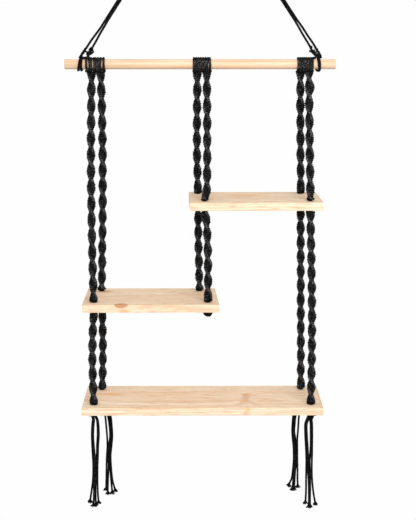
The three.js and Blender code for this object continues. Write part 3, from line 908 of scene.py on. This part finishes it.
def end_knot(board, hole):
    """A flat round overhand knot of the rope's four ends, pulled up against the board."""
    knot = BoardKnot(board, hole)
    knot.hole_cords(knot.foot + END_CORDS_RISE)
    for reach, end_reach, top, foot, turn in END_KNOT_COILS:
        heights = (knot.under - top, knot.under - foot)
        path = coil(knot.middle, (reach, end_reach), END_COIL_TURNS, heights, turn)
        knot.cord(path, radius=END_CORD_RADIUS)
    for route in END_KNOT_CROSSINGS:
        path = [Vector((knot.middle.x + x, knot.middle.y + y, knot.under + z)) for x, y, z in route]
        knot.cord(catmull_rom(path), radius=END_CORD_RADIUS)
    knot.tie(f"{board}_{hole}_end_knot")


# Tassels: each row is the depth below the bottom board and the four strands' sideways places
TASSEL_ROUTES = {
    "left_front": [
        (16, -3.2, -0.2, 4.8, 7.4), (26, -4.4, -1.2, 6, 8.6), (49, -5.8, -2.6, 6.2, 9),
        (73, -5.4, -1.6, 4.6, 7.2), (95, -4.6, -0.2, 3.6, 6.4), (116, -4, -1, 1, 5.2),
        (147, -5.2, -2.4, 0.2, 4.6), (170, -8.2, -3, -0.2, 4.8), (194, -11.6, -4.4, 0, 6)],
    "left_back": [
        (16, -3.6, 0, 3.2, 7), (26, 1.2, 5.4, 8.4, 12), (45, 5, 11.4, 14.4, 17.4),
        (64, 6.6, 14, 16.6, 19), (87, 8.2, 15.2, 17.6, 20), (110, 8.8, 12.2, 15.2, 18),
        (130, 7.4, 10.6, 13.2, 15.8), (150, 6.4, 11, 13.6, 16), (188, 5.2, 9.2, 15.4, 19),
        (210, 4.4, 8.4, 17.6, 24)],
    "right_back": [
        (16, -7, -4, -0.6, 2.6), (26, -11.6, -8.6, -5.6, -0.6), (45, -15.6, -12.8, -10.4, -3.6),
        (64, -17, -14.2, -12, -4.6), (80, -17.4, -15, -12.8, -5.4), (94, -16.4, -14, -10.6, -6.4),
        (114, -14.2, -11.6, -9, -6.2), (146, -13.4, -10.8, -8.2, -5.6), (168, -15, -12.2, -9.6, -5),
        (188, -17.6, -13.8, -10.6, -4.8), (202, -23, -16, -11.4, -4)],
    "right_front": [
        (16, -7.4, -4.6, -0.8, 2.2), (26, -10.8, -8, 0.2, 3), (50, -10.6, -7.4, 0.8, 3.6),
        (74, -9, -5.6, 1, 3.8), (92, -8, -4.4, 0.4, 3.8), (108, -7.4, -4.2, -0.6, 3.6),
        (128, -7.4, -3.8, 0, 3.8), (148, -7.4, -2.6, 0.8, 4.8), (165, -7.2, -1.8, 1.4, 6.6),
        (182, -7.4, -1.4, 1.4, 9), (198, -8, -1.2, 1.6, 12)],
}
STRAND_STARTS = (-3.6, -1.2, 1.2, 3.6)
STRAND_ROWS = (2.3, -2.3, 2.3, -2.3)
STRAND_FEET = (-2, 5, 6, -1)
STRAND_STUB = 2.0
STRAND_KNOT_HALF_WIDTH = 8.1
STRAND_KNOT_HEIGHT = 8.1


def strand_exit(across, depthways):
    """Where a strand leaves its tassel knot, square to the knot's round underside."""
    spread = (across ** 2 + depthways ** 2) / STRAND_KNOT_HALF_WIDTH ** 2
    down = STRAND_KNOT_HEIGHT * math.sqrt(1 - spread)
    exit_point = Vector((across, depthways, -down))
    outward = Vector((across / STRAND_KNOT_HALF_WIDTH ** 2, depthways / STRAND_KNOT_HALF_WIDTH ** 2,
                      -down / STRAND_KNOT_HEIGHT ** 2)).normalized()
    return [exit_point, exit_point + outward * STRAND_STUB]


# Short ends that stick out sideways between two of the tassel knots and the board
TASSEL_STUBS = {"left_front": -1, "right_front": 1}
TASSEL_STUB_ROUTE = ((2.0, -1.0, -4.6), (6.5, -3.0, -6.4), (10.5, -4.0, -6.2))
TASSEL_STUB_RADIUS = 1.6


def tassel_knot(hole):
    knot = BoardKnot("bottom", hole)
    base = Vector((knot.middle.x, knot.middle.y, knot.under))
    for start, row in zip(STRAND_STARTS, STRAND_ROWS):
        corner = Vector((math.copysign(HOLE_CORD_PLACE, start), math.copysign(HOLE_CORD_PLACE, row), 0))
        leaving = strand_exit(start, row)[0]
        path = [base + Vector((corner.x, corner.y, knot.top - knot.under)), base + corner,
                base + corner.lerp(leaving, 0.5) + Vector((0, 0, -TASSEL_CORD_SAG)), base + leaving]
        knot.cord(catmull_rom(path), radius=HOLE_CORD_RADIUS, plied=False)
    knot.turns_below(TASSEL_COIL_TURNS, knot.foot + TASSEL_COIL_RISE)
    if hole in TASSEL_STUBS:
        path = [Vector((knot.middle.x + TASSEL_STUBS[hole] * out, knot.middle.y + front, knot.under + drop))
                for out, front, drop in TASSEL_STUB_ROUTE]
        knot.cord(catmull_rom(path), radius=TASSEL_STUB_RADIUS)
    knot.tie(f"bottom_{hole}_tassel_knot")


TASSEL_CORD_RADIUS = 2.2

# The frayed end of a strand, with its plies' places away from the strand's line
TUFT_SAG = 1.5
TUFT_RISE = 3.0
TUFT_PLY_RADIUS = 1.3
TUFT_PLY_SIDES = 7
TUFT_PLY_PLACES = (0.8, 1.6, 3.0)
TUFT_PLY_LENGTH = 5.5
TUFT_PLY_SHARES = (0.7, 1)
TUFT_FIBRES = 60
TUFT_FIBRE_RADIUS = 0.7
TUFT_FIBRE_SIDES = 4
TUFT_LENGTH = 8.5
TUFT_LENGTH_SHARES = (0.6, 1.1)
TUFT_ROOT_SHARE = 0.9
TUFT_SPREAD = 0.42
TUFT_MIDDLE_LEAN = 0.6
TUFT_TIP_LEAN = 1.6


def sideways(along, turn):
    """A direction square to along, and turned about it."""
    side = along.orthogonal().normalized()
    return side * math.cos(turn) + along.cross(side) * math.sin(turn)


def tuft_ply(strands, end, along, ply):
    out = sideways(along, seeded.uniform(0, 1) + 2 * math.pi * ply / PLY_COUNT)
    root, middle, tip = TUFT_PLY_PLACES
    strands.cord([end - along * TUFT_RISE + out * root, end + out * middle,
                  end + out * tip + along * TUFT_PLY_LENGTH * seeded.uniform(*TUFT_PLY_SHARES)],
                 radius=TUFT_PLY_RADIUS, sides=TUFT_PLY_SIDES, plied=False)


def tuft_fibre(strands, end, along):
    turn = seeded.uniform(0, 2 * math.pi)
    reach = math.sqrt(seeded.random())
    out = sideways(along, turn)
    length = TUFT_LENGTH * seeded.uniform(*TUFT_LENGTH_SHARES)
    root = end - along * TUFT_RISE + out * reach * CORD_RADIUS * TUFT_ROOT_SHARE
    lean = out * reach * TUFT_SPREAD
    tip = root + (along + lean * TUFT_TIP_LEAN).normalized() * length
    middle = root + (along + lean * TUFT_MIDDLE_LEAN).normalized() * length * 0.5
    strands.cord([root, middle, tip], radius=TUFT_FIBRE_RADIUS, sides=TUFT_FIBRE_SIDES, plied=False)


def make_tuft(name, body, end, along):
    """The frayed end of a strand: its plies come apart into fibres."""
    strands = Strands()
    along = (along + Vector((0, 0, -TUFT_SAG))).normalized()
    for ply in range(PLY_COUNT):
        tuft_ply(strands, end, along, ply)
    for _ in range(TUFT_FIBRES):
        tuft_fibre(strands, end, along)
    return strands.piece(name, body, plied, [])


def make_tassels():
    for hole, rows in TASSEL_ROUTES.items():
        base = centre_mm(f"bottom_board_{hole}_knot")
        base.z = box_mm("bottom_board")[0].z
        for s, (start, row) in enumerate(zip(STRAND_STARTS, STRAND_ROWS)):
            points = [Vector((route[s + 1], row, -route[0])) for route in rows]
            points[-1].z -= STRAND_FEET[s]
            path = [base + point for point in catmull_rom(strand_exit(start, row) + points)]
            strands = Strands()
            strands.cord(path, radius=TASSEL_CORD_RADIUS)
            name = f"{hole}_tassel_cord_{s + 1}"
            node = f"{hole}_tassel_strand_{s + 1}"
            cord = strands.piece(name, f"{hole}_tassel", plied, [node])
            tuft = make_tuft(f"{name}_tuft", f"{hole}_tassel", path[-1], (path[-1] - path[-3]).normalized())


for knot_hole in HOLES:
    support_knot("top", knot_hole)
    if knot_hole.startswith("left"):
        support_knot("middle", knot_hole)
    else:
        end_knot("middle", knot_hole)
    tassel_knot(knot_hole)
make_tassels()


# Hitches: the places of their strands, on the front of the dowel and on its top
HITCH_STRANDS = {
    "left_front": ((-226.4, -219.5, -216.9, -210.0), (-226.6, -221.6, -217.9, -212.4)),
    "left_back": ((-206.7, -202.8, -199.0, -191.9), (-208.6, -203.6, -198.3, -192.7)),
    "centre_back": ((-12.2, -7.4, -3.2, 1.0), (-12.3, -7.8, -3.2, 1.4)),
    "centre_front": ((5.2, 9.4, 13.8, 19.8), (6.0, 10.6, 15.3, 19.0)),
    "right_back": ((196.0, 200.0, 204.0, 208.0), (195.7, 199.7, 203.8, 207.9)),
    "right_front": ((212.0, 216.0, 220.0, 223.8), (212.0, 216.1, 220.2, 224.4)),
}
HITCH_CORD_RADIUS = 2.55
HITCH_BAR_LIFT = 2.8
HITCH_BAR_DEGREES = 312
# Where the strands gather into the rope: their share of the way out, their place and their tuck
HITCH_GATHER = 0.8
HITCH_END_PLACE = -1.0
HITCH_END_TUCK = 1.5
HEAD_END_DEGREES = -40
HEAD_END_FRONT = 1.5
# Round the dowel as [degrees, share of the way to the place on top], then up to the bar as
# [degrees, outward, away from the dowel]
HEAD_TURNS = ((-28, 0), (5, 0.1), (35, 0.4), (65, 0.9), (95, 1), (125, 1), (155, 0.8), (185, 0.4), (215, 0))
HEAD_RISE = ((243, 0.4, 0.4), (270, 1.2, 1.4), (293, 1.0, 2.4), (308, 0.2, 3.0))
# The painted-light band on a hitch's front, as heights from the dowel's axis, and how light it is painted
HITCH_FRONT_LOW = -9.5
HITCH_FRONT_HIGH = 9.0
HITCH_FRONT_FADE = 4.0
HITCH_FRONT_PAINTED_LIGHT = 0.45


def round_dowel(x, radius, degrees):
    """A point round the dowel: 0 degrees at its front, 90 on its top."""
    angle = math.radians(degrees)
    return Vector((x, -radius * math.cos(angle), radius * math.sin(angle)))


def head_half(x, top_x, outward, end):
    """Half a lark's head, from the hanging end round the dowel to its bar."""
    near = DOWEL_RADIUS + CORD_RADIUS
    below = round_dowel(x, near, HEAD_END_DEGREES)
    points = [end, end.lerp(below, 0.5) + Vector((0, -HEAD_END_FRONT, 0))]
    points += [round_dowel(x + (top_x - x) * share, near, degrees) for degrees, share in HEAD_TURNS]
    points += [round_dowel(x + outward * out, near + up, degrees) for degrees, out, up in HEAD_RISE]
    return points


def hitch_painted_light(point):
    """Painted light: lighter on the front of the dowel, which faces the lamp, and painted shade, black, on
    its top and at the bar.
    """
    rise = smooth((point.z - HITCH_FRONT_LOW) / HITCH_FRONT_FADE)
    rise *= smooth((HITCH_FRONT_HIGH - point.z) / HITCH_FRONT_FADE)
    return HITCH_FRONT_PAINTED_LIGHT * rise if point.y < 0 else 0.0


def make_hitch(name):
    rope_top = box_mm(f"{name}_upper_rope")[1].z
    middle = centre_mm(f"{name}_hitch")
    strands = Strands()
    places, tops = HITCH_STRANDS[name]
    for first in (0, 2):
        ends = [Vector((middle.x + (place_x - middle.x) * HITCH_GATHER, HITCH_END_PLACE,
                        rope_top - HITCH_END_TUCK)) for place_x in places[first:first + 2]]
        left = head_half(places[first], tops[first], -1, ends[0])
        right = head_half(places[first + 1], tops[first + 1], 1, ends[1])
        bar_x = (places[first] + places[first + 1]) / 2
        bar = round_dowel(bar_x, DOWEL_RADIUS + CORD_RADIUS + HITCH_BAR_LIFT, HITCH_BAR_DEGREES)
        path = catmull_rom(left + [bar] + right[::-1])
        # Painted light along the hitch: lighter across the dowel's front, painted shade on its top and at
        # the bar
        strands.cord(path, radius=HITCH_CORD_RADIUS, painted_light_levels=[hitch_painted_light(point) for point in path])
    strands.piece(f"{name}_larks_heads", "dowel", hitched, [f"{name}_hitch"])


for hitch_name in HITCH_STRANDS:
    make_hitch(hitch_name)


# Suspension: the cords' lower routes as [across, height], and where they come together
OUTER_ROUTES = {
    "left": [(-241.0, 12.3), (-238.5, 15.5), (-235.3, 20.0), (-232.2, 25.0), (-228.3, 29.9),
             (-225.4, 34.0), (-217.5, 45.6), (-207.4, 59.0), (-197.3, 72.4)],
    "right": [(241.6, 12.2), (240.3, 15.5), (238.3, 20.4), (235.7, 24.7), (232.0, 29.0), (229.4, 34.0),
              (226.8, 38.2), (221.8, 45.5), (214.8, 55.3), (203.4, 72.4)],
}
INNER_ROUTES = {
    "left": [(-218.4, 26.0), (-216.4, 30.0), (-211.4, 38.3), (-205.0, 49.3), (-197.4, 62.7),
             (-189.8, 74.8)],
    "right": [(224.0, 25.5), (221.4, 29.6), (218.8, 35.1), (212.5, 45.5), (203.6, 59.6), (194.7, 74.8)],
}
LEG_RADIUS = 2.4
PAIR_JOINS = {"left": (-185.0, 87.0), "right": (189.9, 87.0)}
PAIR_HALF_GAP = 2.2
PAIR_TWISTS = 2.0
PAIR_TWIST_POWER = 3
PAIR_STEP = 2.0
PAIR_TUCK = 1.5
WRAP_GAP = 0.1
# Each wrap as [degrees round the dowel from its front, across, height above the first layer]
WRAPS = {
    "left": [(90, -237.8, 0), (0, -240.8, 0), (-90, -243.4, 0), (-180, -239.0, 0), (-270, -235.6, 2.0),
             (-360, -236.6, 0.8), (-450, -236.9, 0), (-540, -234.0, 0), (-630, -231.5, 0)],
    "right": [(90, 234.4, 0), (0, 236.4, 0), (-90, 238.8, 0), (-180, 238.0, 0), (-270, 236.0, 2.0),
              (-360, 238.2, 1.6), (-425, 237.6, 1.6), (-450, 234.0, 0.4), (-475, 232.6, 0),
              (-540, 230.5, 0), (-630, 229.0, 0)],
}
APEX = centre_mm("hanging_knot")
APEX_REACH = (box_mm("hanging_knot")[1].z - box_mm("hanging_knot")[0].z) / 2


def paired_leg(side, phase):
    """A cord beside its partner, from where the two meet to the knot, twisted only towards the top."""
    join = Vector((PAIR_JOINS[side][0], 0, PAIR_JOINS[side][1]))
    line = APEX - join
    up = line.normalized()
    across = Vector((up.z, 0, -up.x)) * (-1 if side == "left" else 1)
    length = line.length - APEX_REACH + PAIR_TUCK
    steps = math.ceil(length / PAIR_STEP)
    points = []
    for i in range(steps + 1):
        share = i / steps
        turn = phase + 2 * math.pi * PAIR_TWISTS * share ** PAIR_TWIST_POWER
        offset = across * math.cos(turn) + Vector((0, 1, 0)) * math.sin(turn)
        points.append(join + up * (length * share) + offset * PAIR_HALF_GAP)
    return points


def make_legs(side):
    for kind, routes, phase in (("outer", OUTER_ROUTES, 0.0), ("inner", INNER_ROUTES, math.pi)):
        lower = [Vector((x, 0, z)) for x, z in routes[side]]
        strands = Strands()
        strands.cord(catmull_rom(lower + paired_leg(side, phase)), radius=LEG_RADIUS)
        node = f"{side}_{kind}_suspension_cord"
        strands.piece(f"{side}_{kind}_hanging_cord", "suspension", plied, [node])


def make_wrap(side):
    near = DOWEL_RADIUS + CORD_RADIUS + WRAP_GAP
    keys = [Vector((math.radians(degrees) * near, across, lift)) for degrees, across, lift in WRAPS[side]]
    path = [round_dowel(key.y, near + key.z, math.degrees(key.x / near)) for key in catmull_rom(keys)]
    strands = Strands()
    strands.cord(path, radius=LEG_RADIUS)
    strands.piece(f"{side}_wrapped_cord", "suspension", plied, [f"{side}_dowel_wrap"])


# Knots beside the dowel wraps: the ends of each barrel of turns, as [across, height]
BARRELS = {
    "left": ((-224.4, 16.6), (-216.2, 29.6)),
    "right": ((234.6, 14.6), (224.8, 26.2)),
}
# Turns round the foot of the outer cord, which make it lumpy
COLLARS = {
    "left": ((-236.6, 18.4), (-228.2, 30.0)),
    "right": ((240.0, 15.6), (230.0, 33.2)),
}
# The knots' single cords, as [across, height]
RETURNS = {
    "left": [(-239.7, 12.6), (-232.9, 13.1), (-226.1, 14.0), (-221.7, 17.5)],
    "right": [(222.5, 12.6), (227.3, 13.0), (231.5, 14.8), (234.0, 17.5)],
}
BIGHTS = {
    "left": [(-232.7, 23.6), (-228.4, 25.3), (-223.1, 22.1)],
    "right": [(237.0, 24.0), (233.0, 24.6), (229.5, 22.5)],
}
TAILS = {
    "left": [(-219.5, 20.0), (-215.4, 21.6), (-212.6, 25.4), (-215.0, 28.0)],
    "right": [(228.2, 18.4), (224.6, 21.7), (220.5, 25.3), (217.1, 26.2)],
}
LUMPS = {
    "left": [(-220.5, 29.0), (-217.6, 32.2), (-214.4, 30.6), (-215.6, 27.4)],
    "right": [(219.0, 35.4), (222.3, 34.2), (221.8, 30.4), (224.0, 27.0)],
}
# Each route's place in front of the dowel's axis
KNOT_ROUTES = ((RETURNS, 0.0), (BIGHTS, -1.5), (TAILS, -2.5), (LUMPS, -1.5))
BARREL_TURNS = 3.2
BARREL_REACH = 2.8
BARREL_CORD_RADIUS = 2.0
COLLAR_TURNS = 2.6
COLLAR_REACH = 1.6
COLLAR_CORD_RADIUS = 1.7
KNOT_CORD_RADIUS = 1.9
HELIX_STEPS = 90


def lay_helix(strands, ends, turns, reach, radius):
    start, end = (Vector((x, 0, z)) for x, z in ends)
    along = (end - start).normalized()
    across = Vector((along.z, 0, -along.x))
    path = []
    for i in range(HELIX_STEPS + 1):
        share = i / HELIX_STEPS
        angle = 2 * math.pi * turns * share
        offset = across * math.cos(angle) + Vector((0, -1, 0)) * math.sin(angle)
        path.append(start.lerp(end, share) + offset * reach)
    strands.cord(path, radius=radius)


def make_dowel_knot(side):
    strands = Strands()
    lay_helix(strands, BARRELS[side], BARREL_TURNS, BARREL_REACH, BARREL_CORD_RADIUS)
    lay_helix(strands, COLLARS[side], COLLAR_TURNS, COLLAR_REACH, COLLAR_CORD_RADIUS)
    for routes, depth in KNOT_ROUTES:
        path = [Vector((x, depth if i else depth / 2, z)) for i, (x, z) in enumerate(routes[side])]
        strands.cord(catmull_rom(path), radius=KNOT_CORD_RADIUS)
    strands.piece(f"{side}_cord_knot", "suspension", plied, [f"{side}_dowel_knot"])


for cord_side in ("left", "right"):
    make_legs(cord_side)
    make_wrap(cord_side)
    make_dowel_knot(cord_side)


# Hanging loop and its knot
TREFOIL_SCALE = 3.05
TREFOIL_STEPS = 120
TREFOIL_SPREAD = 0.04
TREFOIL_PLACE = 1.9
TREFOIL_DEPTH = 3.4
GATHERED_PLACES = (-3.2, 0.0, 3.2)
GATHERED_HALF_HEIGHT = 9.0
GATHERED_FOOT_SHARE = 0.5
GATHERED_TOP_SHARE = -0.4
LOOP_TUCK = 2.0
LOOP_FOOT_SHARE = 0.5
LOOP_WAIST_SHARE = 0.9
LOOP_DEPTH_SHARE = 0.97


def trefoil(shift):
    """The path of one of the hanging knot's two cords, which lie side by side."""
    reach = TREFOIL_SCALE * (1 + TREFOIL_SPREAD * shift)
    path = []
    for i in range(TREFOIL_STEPS + 1):
        t = 2 * math.pi * i / TREFOIL_STEPS
        path.append(APEX + Vector((reach * (math.sin(t) + 2 * math.sin(2 * t)),
                                   shift * TREFOIL_PLACE - TREFOIL_DEPTH * math.sin(3 * t),
                                   reach * (math.cos(t) - 2 * math.cos(2 * t)))))
    return path


def make_hanging_knot():
    strands = Strands()
    for shift in (-1, 1):
        strands.cord(trefoil(shift))
    for x in GATHERED_PLACES:
        strands.cord([APEX + Vector((x, GATHERED_FOOT_SHARE * x, -GATHERED_HALF_HEIGHT)),
                      APEX + Vector((GATHERED_TOP_SHARE * x, 0, 0)),
                      APEX + Vector((x, GATHERED_TOP_SHARE * x, GATHERED_HALF_HEIGHT))])
    strands.piece("gathering_knot", "hanging_knot", plied, ["hanging_knot"])


def make_loop():
    low, high = box_mm("hanging_loop")
    half = (high.x - low.x) / 2 - CORD_RADIUS
    top = high.z - CORD_RADIUS
    foot = APEX.z + APEX_REACH - LOOP_TUCK
    shoulder = top - half
    waist = (foot + shoulder) / 2
    outline = [(-LOOP_FOOT_SHARE * half, foot), (-LOOP_WAIST_SHARE * half, waist), (-half, shoulder),
               (0, top),
               (half, shoulder), (LOOP_WAIST_SHARE * half, waist), (LOOP_FOOT_SHARE * half, foot)]
    strands = Strands()
    for depth in (-CORD_RADIUS, CORD_RADIUS):
        strands.cord(catmull_rom([Vector((x, depth * LOOP_DEPTH_SHARE, z)) for x, z in outline]))
    strands.piece("hook_loop", "hanger", plied, ["hanging_loop"])


make_hanging_knot()
make_loop()


# Light
WHITE = (0.99, 0.99, 0.99, 1.0)
WORLD_COLOUR = (1.0, 1.0, 1.0, 1.0)
WORLD_LEVEL = 0.62
KEY_WATTS = 80.0
KEY_PLACE = (0.6, -2.6, 0.7)
KEY_SIZE = 2.2
AIM = (0.0, 0.0, -0.72)


def background(tree, tint, strength):
    node = tree.nodes.new("ShaderNodeBackground")
    node.inputs["Color"].default_value = tint
    node.inputs["Strength"].default_value = strength
    return node.outputs[0]


def make_world():
    """Soft light all round, in front of plain white."""
    world = bpy.data.worlds.new("studio")
    world.use_nodes = True
    tree = world.node_tree
    tree.nodes.clear()
    output = tree.nodes.new("ShaderNodeOutputWorld")
    path = tree.nodes.new("ShaderNodeLightPath")
    mix = tree.nodes.new("ShaderNodeMixShader")
    tree.links.new(path.outputs["Is Camera Ray"], mix.inputs[0])
    tree.links.new(background(tree, WORLD_COLOUR, WORLD_LEVEL), mix.inputs[1])
    tree.links.new(background(tree, WHITE, 1.0), mix.inputs[2])
    tree.links.new(mix.outputs[0], output.inputs["Surface"])
    bpy.context.scene.world = world


def make_key_light():
    data = bpy.data.lights.new("key", "AREA")
    data.energy = KEY_WATTS
    data.shape = "SQUARE"
    data.size = KEY_SIZE
    key = bpy.data.objects.new("key", data)
    key.location = KEY_PLACE
    key.rotation_euler = (Vector(AIM) - Vector(KEY_PLACE)).to_track_quat("-Z", "Y").to_euler()
    bpy.context.scene.collection.objects.link(key)


make_world()
make_key_light()
bpy.context.scene.view_settings.view_transform = "Standard"
